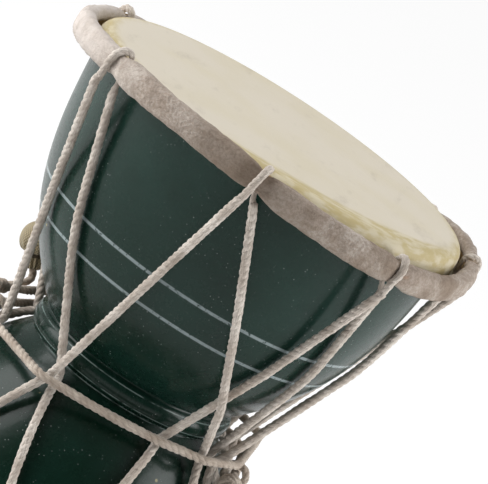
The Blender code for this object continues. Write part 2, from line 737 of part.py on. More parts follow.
def main():
    """Builds the drum under one empty at its mid-plane."""
    clear_scene()
    parts = bpy.data.collections.new("damaru")
    cutters = bpy.data.collections.new("damaru_cutters")
    for collection in (parts, cutters):
        bpy.context.scene.collection.children.link(collection)
    drum = bpy.data.objects.new("mid_plane", None)
    parts.objects.link(drum)
    drum.location = (0.0, 0.0, HEAD_HEIGHT)

    lacquer = finish("green_lacquer", (0.020, 0.060, 0.042), 0.25)
    hide = finish("hide", (0.680, 0.610, 0.480), 0.70)
    cane = finish("cane", (0.520, 0.370, 0.190), 0.60)
    rope = finish("cotton_rope", (0.500, 0.440, 0.380), 0.90)
    striker = {
        "cord": rope,
        "bead": finish("bead_wood", (0.360, 0.220, 0.110), 0.60),
        "cloth": finish("woven_cloth", (0.450, 0.390, 0.260), 0.90),
        "thread": finish("thread", (0.120, 0.090, 0.060), 0.80),
    }

    make_shell(drum, lacquer)
    for head in (UPPER, LOWER):
        make_head(head, drum, cutters, hide, cane)

    lifts_a = [0.0] * len(HOLE_AZIMUTHS)
    lifts_b = [ROPE_APART] * len(HOLE_AZIMUTHS)
    lifts_a[SLACK_LEG] = SLACK_LEG_LIFT
    lifts_b[SLACK_LEG] = 0.0
    lacings = []
    for letter, first, waists, lifts in (
        ("a", 0, WAIST_AZIMUTHS_A, lifts_a),
        ("b", 1, WAIST_AZIMUTHS_B, lifts_b),
    ):
        under = dense(lacings[0], ROPE_RADIUS / 2) if lacings else None
        run, widths, middle, along = lacing_route(first, waists, lifts, under)
        lacings.append(run)
        tube("lacing_cord_" + letter, run, ROPE_RADIUS, rope, drum, widths)
        make_knot("lacing_knot_" + letter, middle, along, LACING_KNOT_LENGTH, LACING_KNOT_RADIUS, drum, rope)

    waist = waist_route(np.vstack([dense(run, ROPE_RADIUS / 2) for run in lacings]))
    print(f"waist cord: least gap to itself {least_gap(waist, ROPE_RADIUS) * 1000:.2f} mm")
    for name, end, inner, length, radius in (
        ("waist_tail_knot", waist[0], waist[1], TAIL_KNOT_LENGTH, TAIL_KNOT_RADIUS),
        ("waist_knot", waist[-1], waist[-2], WAIST_KNOT_LENGTH, WAIST_KNOT_RADIUS),
    ):
        along = Vector(end - inner).normalized()
        make_knot(name, Vector(end) + along * (length / 2 + GAP), along, length, radius, drum, rope)
    thinned, _ = thin(waist, [1.0] * len(waist))
    tube("waist_cord", thinned, ROPE_RADIUS, rope, drum)

    for name, azimuth, tight, route, ball in (
        ("striker_a", HITCH_A_AZIMUTH, True, STRIKER_A_ROUTE, STRIKER_A_BALL),
        ("striker_b", HITCH_B_AZIMUTH, False, STRIKER_B_ROUTE, STRIKER_B_BALL),
    ):
        spot, along = seat_on(waist, azimuth)
        make_striker(name, spot, along, tight, route, ball, drum, striker)


main()
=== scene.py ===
"""Looks of a damaru: lacquered hourglass shell, laced hide heads, waist cord and two strikers.

Sizes are in metres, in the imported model's own frame: +Z runs up the drum's axis and the lower
head lies at z = 0. Azimuths are in degrees: 0 faces -Y, and they grow towards +X.
"""

import logging
import math
from dataclasses import dataclass
from enum import Enum
from typing import Any, Callable, Dict, List, Optional, Sequence, Tuple, Union

import bmesh
import bpy
import numpy as np
from mathutils import Matrix, Vector, noise


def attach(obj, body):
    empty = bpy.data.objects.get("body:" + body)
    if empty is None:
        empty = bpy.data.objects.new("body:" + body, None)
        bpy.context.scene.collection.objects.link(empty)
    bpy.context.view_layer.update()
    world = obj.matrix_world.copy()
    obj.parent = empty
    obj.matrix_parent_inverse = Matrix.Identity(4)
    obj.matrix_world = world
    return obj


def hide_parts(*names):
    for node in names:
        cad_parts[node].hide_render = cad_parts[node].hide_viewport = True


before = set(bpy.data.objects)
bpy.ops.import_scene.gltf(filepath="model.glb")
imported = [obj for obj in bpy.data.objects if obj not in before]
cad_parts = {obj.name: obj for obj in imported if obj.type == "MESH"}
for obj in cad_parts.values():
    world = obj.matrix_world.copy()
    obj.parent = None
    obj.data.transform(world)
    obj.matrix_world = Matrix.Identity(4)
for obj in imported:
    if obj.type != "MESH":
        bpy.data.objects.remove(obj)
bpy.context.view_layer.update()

log = logging.getLogger("damaru")

Triple = Tuple[float, float, float]
Colour = Triple
Profile = List[Tuple[float, float]]
Stations = Tuple[Tuple[float, float], ...]
Number = Union[int, float]

MERGE = 0.000002
FULL_TURN = 2.0 * math.pi
WHITE: Colour = (1.0, 1.0, 1.0)


class Body(Enum):
    """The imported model's moving bodies."""

    DRUM = "drum"
    STRIKER_A = "striker_a"
    STRIKER_B = "striker_b"


class Slot(Enum):
    """The record's material slots, one for each finish of the new pieces."""

    LACQUER = "lacquer"
    HIDE = "hide"
    CANE = "cane"
    ROPE = "rope"
    CLOTH = "cloth"
    THREAD = "thread"


class Socket:
    """A node's output socket, with arithmetic that adds Math nodes."""

    def __init__(self, graph: "Graph", socket: bpy.types.NodeSocket) -> None:
        """Keeps the socket and the graph that it belongs to."""
        self.graph = graph
        self.socket = socket

    def _math(self, operation: str, *values: Any) -> "Socket":
        """Adds one Math node on these values."""
        return self.graph.node("Math", {"operation": operation}, dict(enumerate(values)))

    def __add__(self, other: Any) -> "Socket":
        """This plus another value."""
        return self._math("ADD", self, other)

    def __radd__(self, other: Number) -> "Socket":
        """A number plus this."""
        return self._math("ADD", other, self)

    def __sub__(self, other: Any) -> "Socket":
        """This less another value."""
        return self._math("SUBTRACT", self, other)

    def __rsub__(self, other: Number) -> "Socket":
        """A number less this."""
        return self._math("SUBTRACT", other, self)

    def __mul__(self, other: Any) -> "Socket":
        """This times another value."""
        return self._math("MULTIPLY", self, other)

    def __rmul__(self, other: Number) -> "Socket":
        """A number times this."""
        return self._math("MULTIPLY", other, self)

    def __abs__(self) -> "Socket":
        """The size of this without its sign."""
        return self._math("ABSOLUTE", self)

    def highest(self, other: Any) -> "Socket":
        """The larger of this and another value."""
        return self._math("MAXIMUM", self, other)

    def root(self) -> "Socket":
        """The square root of this."""
        return self._math("SQRT", self)

    def sine(self) -> "Socket":
        """The sine of this."""
        return self._math("SINE", self)

    def angle_to(self, other: "Socket") -> "Socket":
        """The angle whose tangent is this over another value."""
        return self._math("ARCTAN2", self, other)

    def ramp(self, low: Number, high: Number, start: Number = 0.0, end: Number = 1.0) -> "Socket":
        """Goes smoothly from start to end as this goes from low to high.

        Args:
            low: The value at which the ramp starts.
            high: The value at which it ends.
            start: What it gives at low and before.
            end: What it gives at high and after.

        Returns:
            The ramp's value.
        """
        inputs = {"Value": self, "From Min": low, "From Max": high, "To Min": start, "To Max": end}
        return self.graph.node("MapRange", {"interpolation_type": "SMOOTHSTEP"}, inputs)


class Graph:
    """The node tree of a material or of the sky, with one method that makes nodes."""

    def __init__(self, owner: Union[bpy.types.Material, bpy.types.World], shader: str) -> None:
        """Opens a node tree.

        Args:
            owner: The material or world.
            shader: The name of the shader node that it starts with.
        """
        owner.use_nodes = True
        self.owner = owner
        self.tree = owner.node_tree
        self.shader = self.tree.nodes[shader]

    @classmethod
    def material(cls, name: str) -> "Graph":
        """Starts a Principled material."""
        return cls(bpy.data.materials.new(name), "Principled BSDF")

    def node(self, kind: str, settings: Optional[Dict[str, Any]] = None,
             inputs: Optional[Dict[Any, Any]] = None, output: Union[int, str] = 0) -> Socket:
        """Adds a node.

        Args:
            kind: The node's type, without the ShaderNode that starts its name.
            settings: Its properties, which are set first.
            inputs: The values or links of its sockets.
            output: Which output to return.

        Returns:
            The output socket.
        """
        made = self.tree.nodes.new("ShaderNode" + kind)
        for key, value in (settings or {}).items():
            setattr(made, key, value)
        for key, value in (inputs or {}).items():
            self.feed(made.inputs[key], value)
        return Socket(self, made.outputs[output])

    def feed(self, socket: bpy.types.NodeSocket, value: Any) -> None:
        """Links a socket, or sets its value.

        Args:
            socket: The input socket.
            value: Another socket, a number, a colour or a vector.
        """
        if isinstance(value, Socket):
            self.tree.links.new(value.socket, socket)
        elif isinstance(value, (int, float)):
            socket.default_value = value
        else:
            fits = len(socket.default_value)
            socket.default_value = (*value, 1.0)[:fits]

    def surface(self, **values: Any) -> None:
        """Sets the shader's sockets, spaces in their names written as underscores."""
        for key, value in values.items():
            self.feed(self.shader.inputs[key.replace("_", " ")], value)

    def place(self) -> Socket:
        """The point's place in the piece's own frame."""
        return self.node("TexCoord", output="Object")

    def split(self, vector: Socket) -> Tuple[Socket, Socket, Socket]:
        """The three parts of a vector."""
        made = self.tree.nodes.new("ShaderNodeSeparateXYZ")
        self.tree.links.new(vector.socket, made.inputs[0])
        return tuple(Socket(self, made.outputs[i]) for i in range(3))

    def join(self, x: Any, y: Any, z: Any) -> Socket:
        """A vector of three parts."""
        return self.node("CombineXYZ", None, {0: x, 1: y, 2: z})

    def noise(self, where: Socket, scale: float, detail: float = 3.0, rough: float = 0.55) -> Socket:
        """Smooth noise from 0 to 1.

        Args:
            where: The place that it is read at.
            scale: How many waves fit in a metre.
            detail: How many finer layers it has.
            rough: How strong those layers are.

        Returns:
            The noise's value.
        """
        inputs = {"Vector": where, "Scale": scale, "Detail": detail, "Roughness": rough}
        return self.node("TexNoise", None, inputs)

    def specks(self, where: Socket, scale: float, size: float) -> Socket:
        """Small round specks: 1 inside a speck and 0 outside.

        Args:
            where: The place that they are read at.
            scale: How many fit in a metre.
            size: A speck's reach, as a share of their spacing.

        Returns:
            The specks' mask.
        """
        inputs = {"Vector": where, "Scale": scale, "Randomness": 1.0}
        reach = self.node("TexVoronoi", {"feature": "F1"}, inputs, "Distance")
        return reach.ramp(size * 0.5, size, 1.0, 0.0)

    def stretch(self, where: Socket, scale: Triple) -> Socket:
        """A place with its axes scaled, which draws a pattern out along the smaller ones."""
        return self.node("Mapping", None, {"Vector": where, "Scale": scale})

    def mix(self, share: Any, first: Any, second: Any) -> Socket:
        """A colour between two.

        Args:
            share: 0 for the first and 1 for the second.
            first: The first colour.
            second: The second colour.

        Returns:
            The mixed colour.
        """
        made = self.tree.nodes.new("ShaderNodeMix")
        made.data_type = "RGBA"
        colour_inputs = [socket for socket in made.inputs if socket.type == "RGBA"]
        self.feed(made.inputs[0], share)
        self.feed(colour_inputs[0], first)
        self.feed(colour_inputs[1], second)
        return Socket(self, [socket for socket in made.outputs if socket.type == "RGBA"][0])

    def bump(self, height: Socket, distance: float, strength: float = 1.0) -> None:
        """Bends the surface's normal by a height.

        Args:
            height: The height, from 0 to 1.
            distance: How deep 1 is.
            strength: How much of it shows.
        """
        inputs = {"Height": height, "Distance": distance, "Strength": strength}
        self.surface(Normal=self.node("Bump", None, inputs))


@dataclass(frozen=True)
class DrumSizes:
    """The drum's driving sizes, heights counted from its mid-plane."""

    middle: float = 0.0788
    half_height: float = 0.0777
    rim_radius: float = 0.0571
    rim_round: float = 0.0026
    skin: float = 0.0008
    gap: float = 0.0003
    head_round: float = 0.0034
    hoop_radius: float = 0.0625
    hoop_half_width: float = 0.00135
    hoop_half_height: float = 0.0029
    lap_half_width: float = 0.00245
    lap_half_height: float = 0.0040
    upper_roll: float = 0.0753
    lower_roll: float = 0.0700
    holes: Tuple[float, ...] = (-47.0, 2.0, 45.0, 96.0, 133.0, 170.0, 207.0, 244.0)

    @property
    def head_height(self) -> float:
        """From the mid-plane to a head's outer face."""
        return self.half_height + self.gap + self.skin

    @property
    def wall_radius(self) -> float:
        """The middle of the hide where it comes down the rim."""
        return self.rim_radius + self.gap + self.skin / 2


SIZES = DrumSizes()

STRIPE_HEIGHTS = (0.0368, 0.0277)
STRIPE_WIDTH = 0.0009
FINE_LINES = (0.0022, -0.0019, -0.0035)
FINE_LINE_WIDTH = 0.00025

# Each roll's (azimuth, height) stations: its solid's rise, and how far the hide leaves its solid.
UPPER_ROLL_RISES = (
    (-95.0, -0.0013),
    (-45.0, 0.0020),
    (-10.0, 0.0019),
    (17.0, 0.0004),
    (35.0, -0.0012),
    (62.0, -0.0041),
    (80.0, -0.0031),
    (112.0, -0.0001),
    (140.0, -0.0037),
    (180.0, -0.0053),
    (222.0, -0.0045),
    (244.0, -0.0012),
)
UPPER_ROLL_SAGS = ((-14.0, 0.0), (14.0, -0.0013), (38.0, -0.0014), (66.0, 0.0))
LEVEL_ROLL = ((0.0, 0.0),)


@dataclass(frozen=True)
class Lacquer:
    """Bottle-green gloss over turned wood, with painted lines, dust and fine scratches."""

    deep: Colour = (0.0024, 0.0150, 0.0085)
    pale: Colour = (0.0100, 0.0350, 0.0265)
    stripe: Colour = (0.240, 0.290, 0.295)
    fine_line: Colour = (0.160, 0.215, 0.200)
    dust: Colour = (0.330, 0.360, 0.350)
    chip: Colour = (0.420, 0.360, 0.190)
    # Painted shade: the heights over which the shell goes from its darker lower colour to its paler
    # upper one.
    painted_shade_ramp: Tuple[float, float] = (-0.005, 0.045)
    brush_wander: float = 0.00035
    dust_count: float = 640.0
    dust_size: float = 0.125
    chip_count: float = 130.0
    chip_size: float = 0.075
    scratch_count: float = 1500.0
    scratch_stretch: Triple = (1.0, 1.0, 0.08)
    roughness: float = 0.22
    coat: float = 0.10
    coat_roughness: float = 0.08
    index: float = 1.29
    ripple_depth: float = 0.00006

    @staticmethod
    def _lines(level: Socket, heights: Sequence[float], core: float, edge: float) -> Socket:
        """Lines round the shell.

        Args:
            level: The height that they are read at.
            heights: The height of each line's middle.
            core: How far from it a line is full.
            edge: How far from it a line ends.

        Returns:
            1 on a line and 0 off it.
        """
        mask = None
        for height in heights:
            line = abs(level - height).ramp(core, edge, 1.0, 0.0)
            mask = line if mask is None else mask.highest(line)
        return mask

    def build(self) -> bpy.types.Material:
        """Makes the material."""
        graph = Graph.material("green_lacquer")
        spot = graph.place()
        _, _, z = graph.split(spot)
        level = z - SIZES.middle
        cloud = graph.noise(spot, 38.0, 4.0)
        # Painted shade: the shell is painted darker below the waist and paler up the upper bowl.
        painted_shade_ramp = level.ramp(*self.painted_shade_ramp)
        colour = graph.mix(cloud.ramp(0.35, 0.7, 0.0, 0.45) + painted_shade_ramp * 0.5, self.deep, self.pale)

        wobble = (graph.noise(spot, 60.0, 2.0) - 0.5) * self.brush_wander
        paint = self._lines(level + wobble, STRIPE_HEIGHTS, STRIPE_WIDTH * 0.36, STRIPE_WIDTH * 0.62)
        kept = graph.noise(spot, 900.0, 3.0).ramp(0.28, 0.45)
        colour = graph.mix(paint * kept, colour, self.stripe)
        turned = self._lines(level, FINE_LINES, FINE_LINE_WIDTH * 0.35, FINE_LINE_WIDTH * 0.75)
        worn = graph.noise(spot, 220.0, 2.0).ramp(0.34, 0.55)
        colour = graph.mix(turned * worn, colour, self.fine_line)

        dusty = graph.noise(spot, 85.0, 2.0).ramp(0.36, 0.66)
        dust = graph.specks(spot, self.dust_count, self.dust_size) * dusty
        colour = graph.mix(dust * 0.70, colour, self.dust)
        knocked = graph.noise(spot, 33.0, 1.0).ramp(0.56, 0.66)
        chips = graph.specks(spot, self.chip_count, self.chip_size) * knocked
        colour = graph.mix(chips * graph.noise(spot, 800.0, 2.0).ramp(0.35, 0.5), colour, self.chip)
        haze = graph.noise(spot, 320.0, 5.0, 0.7)
        drawn = graph.stretch(spot, self.scratch_stretch)
        scratch = graph.noise(drawn, self.scratch_count, 2.0).ramp(0.70, 0.76)
        rubbed = scratch * graph.noise(spot, 48.0, 2.0).ramp(0.52, 0.64)
        colour = graph.mix(rubbed * 0.5, colour, self.dust)
        graph.surface(
            Base_Color=colour,
            Roughness=self.roughness + haze * 0.10 + dust * 0.3 + scratch * 0.12,
            Coat_Weight=self.coat,
            Coat_Roughness=self.coat_roughness,
            IOR=self.index,
        )
        ripple = graph.noise(spot, 700.0, 3.0) + graph.noise(spot, 75.0, 2.0) * 2.0
        graph.bump(ripple, self.ripple_depth, 0.5)
        return graph.owner


@dataclass(frozen=True)
class Hide:
    """Goat hide: cream parchment on the head, suede flesh side where its edge is lapped over."""

    cream: Colour = (0.640, 0.582, 0.478)
    cream_stain: Colour = (0.600, 0.535, 0.380)
    wall: Colour = (0.480, 0.395, 0.200)
    suede: Colour = (0.410, 0.345, 0.293)
    suede_pale: Colour = (0.530, 0.470, 0.415)
    # Painted light: the paler suede of the lap's lit left end.
    suede_painted_light: Colour = (0.640, 0.585, 0.545)
    suede_brown: Colour = (0.185, 0.132, 0.090)
    suede_rust: Colour = (0.430, 0.200, 0.080)
    roll_edge: Tuple[float, float] = (0.0590, 0.0597)
    wall_edge: Tuple[float, float] = (0.0527, 0.0568)
    edge_wander: float = 0.0011
    front_tint: float = 0.0064
    along_scale: float = 0.06
    vein_stretch: float = 0.35
    streak_stretch: Triple = (0.35, 1.0, 1.0)
    crease_depth: float = 0.00060

    def _suede(self, graph: Graph, spot: Socket, streak: Socket) -> Socket:
        """The colour of the lap: painted paler at the left, where the left lamp falls on it, and darker
        brown across the front middle.

        Args:
            graph: The material's graph.
            spot: The point's place.
            streak: The hide's streaks.

        Returns:
            The colour.
        """
        x, _, _ = graph.split(spot)
        suede = graph.mix(graph.noise(spot, 75.0, 4.0).ramp(0.36, 0.68), self.suede, self.suede_pale)
        brown = graph.noise(spot, 52.0, 5.0, 0.62).ramp(0.50, 0.66, 0.0, 0.70)
        suede = graph.mix(brown, suede, self.suede_brown)
        suede = graph.mix(streak.ramp(0.50, 0.68, 0.0, 0.38), suede, self.suede_brown)
        grain = graph.noise(spot, 1300.0, 3.0, 0.7)
        suede = graph.mix(grain.ramp(0.38, 0.62, 0.45, 0.0), suede, self.suede_brown)
        rust = graph.noise(spot, 130.0, 2.0).ramp(0.69, 0.76, 0.0, 0.7)
        suede = graph.mix(rust, suede, self.suede_rust)
        # Darker brown across the lap's front middle, in a band set by x.
        darker_front_band = x.ramp(-0.026, -0.014) * x.ramp(0.0, 0.024, 0.62, 0.14)
        suede = graph.mix(darker_front_band, suede, self.suede_brown)
        # Painted light: the lap is painted paler towards its left end, where the left lamp falls on it.
        patchy = graph.noise(spot, 190.0, 4.0, 0.65).ramp(0.30, 0.60, 0.55, 1.0)
        painted_left_light = x.ramp(-0.0640, -0.0340, 0.75, 0.0) * patchy
        return graph.mix(painted_left_light, suede, self.suede_painted_light)

    def build(self) -> bpy.types.Material:
        """Makes the material."""
        graph = Graph.material("hide")
        spot = graph.place()
        x, y, z = graph.split(spot)
        reach = (x * x + y * y).root()
        turn = x.angle_to(0.0 - y)
        ragged = (graph.noise(spot, 210.0, 3.0) - 0.5) * self.edge_wander
        on_roll = (reach + ragged).ramp(*self.roll_edge)
        nearer = (0.0 - y).ramp(0.008, 0.045, 0.0, self.front_tint) * x.ramp(-0.022, 0.012)
        on_wall = (reach + ragged * 2.0 + nearer).ramp(*self.wall_edge)

        cloud = graph.noise(spot, 32.0, 4.0)
        veins = graph.noise(graph.join(x, y * self.vein_stretch, z), 120.0, 5.0, 0.62)
        cream = graph.mix(cloud.ramp(0.38, 0.72, 0.0, 0.55), self.cream, self.cream_stain)
        cream = graph.mix(veins.ramp(0.55, 0.75, 0.0, 0.22), cream, self.suede_brown)
        along = graph.join(turn * self.along_scale, reach, z)
        streak = graph.noise(graph.stretch(along, self.streak_stretch), 420.0, 4.0)
        wall = graph.mix(streak.ramp(0.4, 0.65), self.wall, self.cream_stain)
        suede = self._suede(graph, spot, streak)
        colour = graph.mix(on_roll, graph.mix(on_wall, cream, wall), suede)
        graph.surface(Base_Color=colour, Roughness=0.55 + on_roll * 0.33)
        nap = graph.noise(spot, 2600.0, 3.0) * (0.25 + on_roll * 0.75)
        creases = graph.noise(spot, 330.0, 4.0, 0.6) * (0.35 + on_roll * 1.2)
        graph.bump(nap * 0.4 + creases + streak * on_roll, self.crease_depth, 0.9)
        return graph.owner


@dataclass(frozen=True)
class CottonRope:
    """Undyed three-strand cotton, greyed by handling."""

    name: str = "cotton_rope"
    light: Colour = (0.790, 0.725, 0.655)
    dark: Colour = (0.560, 0.490, 0.425)
    soil: Colour = (0.250, 0.190, 0.140)
    fibre_count: float = 3200.0
    fibre_stretch: float = 0.16
    fibre_slant: float = 0.45
    fibre_depth: float = 0.00026

    def build(self) -> bpy.types.Material:
        """Makes the material."""
        graph = Graph.material(self.name)
        spot = graph.place()
        colour = graph.mix(graph.noise(spot, 160.0, 4.0).ramp(0.35, 0.68), self.dark, self.light)
        colour = graph.mix(graph.noise(spot, 70.0, 3.0).ramp(0.56, 0.74, 0.0, 0.5), colour, self.soil)
        along, across, _ = graph.split(graph.node("UVMap", {"uv_map": "yarn"}))
        spun = graph.join(along * self.fibre_stretch, across + along * self.fibre_slant, 0.0)
        fibres = graph.noise(spun, self.fibre_count, 3.0, 0.65)
        colour = graph.mix(fibres.ramp(0.36, 0.62, 0.50, 0.0), colour, self.soil)
        graph.surface(Base_Color=colour, Roughness=0.92, Sheen_Weight=0.25, Sheen_Roughness=0.5)
        graph.bump(fibres + graph.noise(spot, 2400.0, 3.0) * 0.6, self.fibre_depth, 0.9)
        return graph.owner


@dataclass(frozen=True)
class StrawCloth:
    """Coarse straw-coloured cloth, woven, read from the piece's own map."""

    light: Colour = (0.560, 0.475, 0.300)
    dark: Colour = (0.120, 0.088, 0.042)
    thread_depth: float = 0.0003

    def build(self) -> bpy.types.Material:
        """Makes the material."""
        graph = Graph.material("straw_cloth")
        u, v, _ = graph.split(graph.node("UVMap", {"uv_map": "weave"}))
        weave = (u * FULL_TURN).sine() * (v * FULL_TURN).sine() * 0.5 + 0.5
        spot = graph.place()
        cloud = graph.noise(spot, 420.0, 3.0)
        colour = graph.mix(weave * 1.1 + cloud * 0.35 - 0.3, self.dark, self.light)
        graph.surface(Base_Color=colour, Roughness=0.9, Sheen_Weight=0.2)
        graph.bump(weave + graph.noise(spot, 2500.0, 2.0) * 0.3, self.thread_depth, 0.8)
        return graph.owner


@dataclass(frozen=True)
class PlainGrain:
    """Wood, cane or thread: two colours in stretched noise."""

    name: str
    light: Colour
    dark: Colour
    scale: float
    stretch: Triple = (1.0, 1.0, 0.15)
    roughness: float = 0.6

    def build(self) -> bpy.types.Material:
        """Makes the material."""
        graph = Graph.material(self.name)
        spot = graph.stretch(graph.place(), self.stretch)
        grain = graph.noise(spot, self.scale, 5.0, 0.6)
        colour = graph.mix(grain.ramp(0.3, 0.7), self.dark, self.light)
        graph.surface(Base_Color=colour, Roughness=self.roughness + grain * 0.15)
        graph.bump(grain, 0.0002, 0.6)
        return graph.owner


class Palette:
    """The finishes, each made once."""

    def __init__(self) -> None:
        """Makes every material."""
        self.lacquer = Lacquer().build()
        self.hide = Hide().build()
        self.rope = CottonRope().build()
        self.waist_rope = CottonRope(
            name="waist_rope", light=(0.640, 0.560, 0.475), dark=(0.420, 0.345, 0.280)).build()
        self.cloth = StrawCloth().build()
        self.cane = PlainGrain("cane", (0.560, 0.400, 0.210), (0.300, 0.190, 0.080), 400.0).build()
        self.bead = PlainGrain("bead_wood", (0.420, 0.260, 0.130), (0.200, 0.110, 0.050), 500.0).build()
        self.thread = PlainGrain(
            "dark_thread", (0.130, 0.100, 0.065), (0.045, 0.032, 0.020), 1800.0,
            stretch=(1.0, 1.0, 1.0), roughness=0.8).build()


def hermite(value: float, start: Triple, end: Triple) -> float:
    """A smooth radius between two stations.

    Args:
        value: The height.
        start: The lower station's height, radius and slope.
        end: The upper station's height, radius and slope.

    Returns:
        The radius at that height.
    """
    span = end[0] - start[0]
    t = (value - start[0]) / span
    rise = t * t * (3.0 - 2.0 * t)
    bend = start[2] * t * (1.0 - t) ** 2 + end[2] * t * t * (t - 1.0)
    return start[1] + (end[1] - start[1]) * rise + span * bend


def clamped(share: float) -> float:
    """A share held between 0 and 1."""
    return min(max(share, 0.0), 1.0)


def eased(share: float) -> float:
    """A smooth step from 0 to 1."""
    share = clamped(share)
    return share * share * (3.0 - 2.0 * share)


def azimuth_of(spot: Vector) -> float:
    """The azimuth of a point, in degrees."""
    return math.degrees(math.atan2(spot.x, -spot.y))


def round_axis(axis: Vector, turn: float) -> Vector:
    """A direction across an axis, turned round it by an angle."""
    side = axis.orthogonal().normalized()
    return side * math.cos(turn) + axis.cross(side) * math.sin(turn)


def length_of(line: np.ndarray) -> float:
    """The length of a line of points."""
    return float(np.linalg.norm(np.diff(line, axis=0), axis=1).sum())


def add_object(name: str, mesh: bpy.types.Mesh, material: bpy.types.Material) -> bpy.types.Object:
    """Links a finished mesh as an object at the origin.

    Args:
        name: The piece's name.
        mesh: Its mesh, already in place.
        material: Its finish.

    Returns:
        The new object.
    """
    mesh.name = name
    mesh.materials.clear()
    mesh.materials.append(material)
    piece = bpy.data.objects.new(name, mesh)
    bpy.context.scene.collection.objects.link(piece)
    return piece


def seat(piece: bpy.types.Object, body: Body, slot: Slot, *nodes: str) -> bpy.types.Object:
    """Puts a piece on its body, in the place of its nodes.

    Args:
        piece: The finished piece.
        body: The body that it moves with.
        slot: The record's slot of its finish; not used.
        nodes: The nodes that it stands for.

    Returns:
        The same piece.
    """
    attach(piece, body.value)
    if nodes:
        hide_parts(*nodes)
    log.info("%s rides on %s", piece.name, body.value)
    return piece


def spin_mesh(name: str, profile: Profile, steps: int, closed: bool,
              shape: Optional[Callable[[Vector], None]] = None) -> bpy.types.Mesh:
    """Turns a profile round the axis.

    Args:
        name: The mesh's name.
        profile: Its (radius, height) points.
        steps: How many steps the turn has.
        closed: Whether the profile's last point joins its first.
        shape: Moves each point of the turned mesh.

    Returns:
        The closed mesh.
    """
    work = bmesh.new()
    verts = [work.verts.new((radius, 0.0, height)) for radius, height in profile]
    edges = [work.edges.new(pair) for pair in zip(verts[:-1], verts[1:])]
    if closed:
        edges.append(work.edges.new((verts[-1], verts[0])))
    bmesh.ops.spin(work, geom=verts + edges, cent=(0.0, 0.0, 0.0), axis=(0.0, 0.0, 1.0),
                   dvec=(0.0, 0.0, 0.0), angle=FULL_TURN, steps=steps, use_merge=True)
    bmesh.ops.remove_doubles(work, verts=work.verts, dist=MERGE)
    if shape:
        for vert in work.verts:
            shape(vert.co)
    bmesh.ops.recalc_face_normals(work, faces=work.faces)
    mesh = bpy.data.meshes.new(name)
    work.to_mesh(mesh)
    work.free()
    mesh.shade_smooth()
    return mesh


class CentreLine:
    """A cord's middle line, read from the rings of its solid."""

    SHARP = math.radians(65.0)
    CAP_FACES = 6

    def __init__(self, node: str) -> None:
        """Reads the line.

        Args:
            node: The cord's node.
        """
        work = bmesh.new()
        work.from_mesh(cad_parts[node].data)
        bmesh.ops.remove_doubles(work, verts=work.verts, dist=MERGE)
        rings = self._rings(work)
        self.points = [sum((v.co for v in ring), Vector()) / len(ring) for ring in rings]
        self.radii = []
        for ring, middle in zip(rings, self.points):
            self.radii.append(min((v.co - middle).length for v in ring))
        work.free()

    def _caps(self, work: bmesh.types.BMesh) -> List[set]:
        """The corner points of the tube's two flat ends."""
        left = set(work.faces)
        caps = []
        while left:
            group = {left.pop()}
            queue = list(group)
            while queue:
                face = queue.pop()
                for edge in face.edges:
                    if edge.calc_face_angle(0.0) > self.SHARP:
                        continue
                    for other in edge.link_faces:
                        if other in left:
                            left.remove(other)
                            group.add(other)
                            queue.append(other)
            if len(group) <= self.CAP_FACES:
                caps.append({vert for face in group for vert in face.verts})
        return sorted(caps, key=lambda cap: min(vert.index for vert in cap))

    def _rings(self, work: bmesh.types.BMesh) -> List[List[bmesh.types.BMVert]]:
        """The tube's rings of points, from one end to the other."""
        work.verts.index_update()
        ring = self._caps(work)[0]
        seen = set(ring)
        rings = []
        while ring:
            rings.append(sorted(ring, key=lambda vert: vert.index))
            beside = {edge.other_vert(vert) for vert in ring for edge in vert.link_edges}
            ring = beside - seen
            seen |= ring
        return rings

    def length(self) -> float:
        """The line's length."""
        return sum((b - a).length for a, b in zip(self.points[:-1], self.points[1:]))


SMOOTHING_REACH = 0.0007


def smooth_line(points: Sequence[Vector], widths: Sequence[float], step: float,
                soften: int = 2) -> Tuple[np.ndarray, np.ndarray]:
    """An even, rounded line through a cord's points.

    Args:
        points: The cord's own points.
        widths: Its radius at each.
        step: The spacing of the new points.
        soften: How many rounds of smoothing it gets.

    Returns:
        The new points and their radii.
    """
    line = np.array([tuple(spot) for spot in points])
    runs = np.concatenate([[0.0], np.cumsum(np.linalg.norm(np.diff(line, axis=0), axis=1))])
    count = max(8, int(round(runs[-1] / step)) + 1)
    marks = np.linspace(0.0, runs[-1], count)
    even = np.stack([np.interp(marks, runs, line[:, i]) for i in range(3)], axis=1)
    radii = np.interp(marks, runs, widths)
    for _ in range(soften * max(1, int(SMOOTHING_REACH / step))):
        for values in (even, radii):
            values[1:-1] = values[:-2] * 0.25 + values[1:-1] * 0.5 + values[2:] * 0.25
    return even, radii


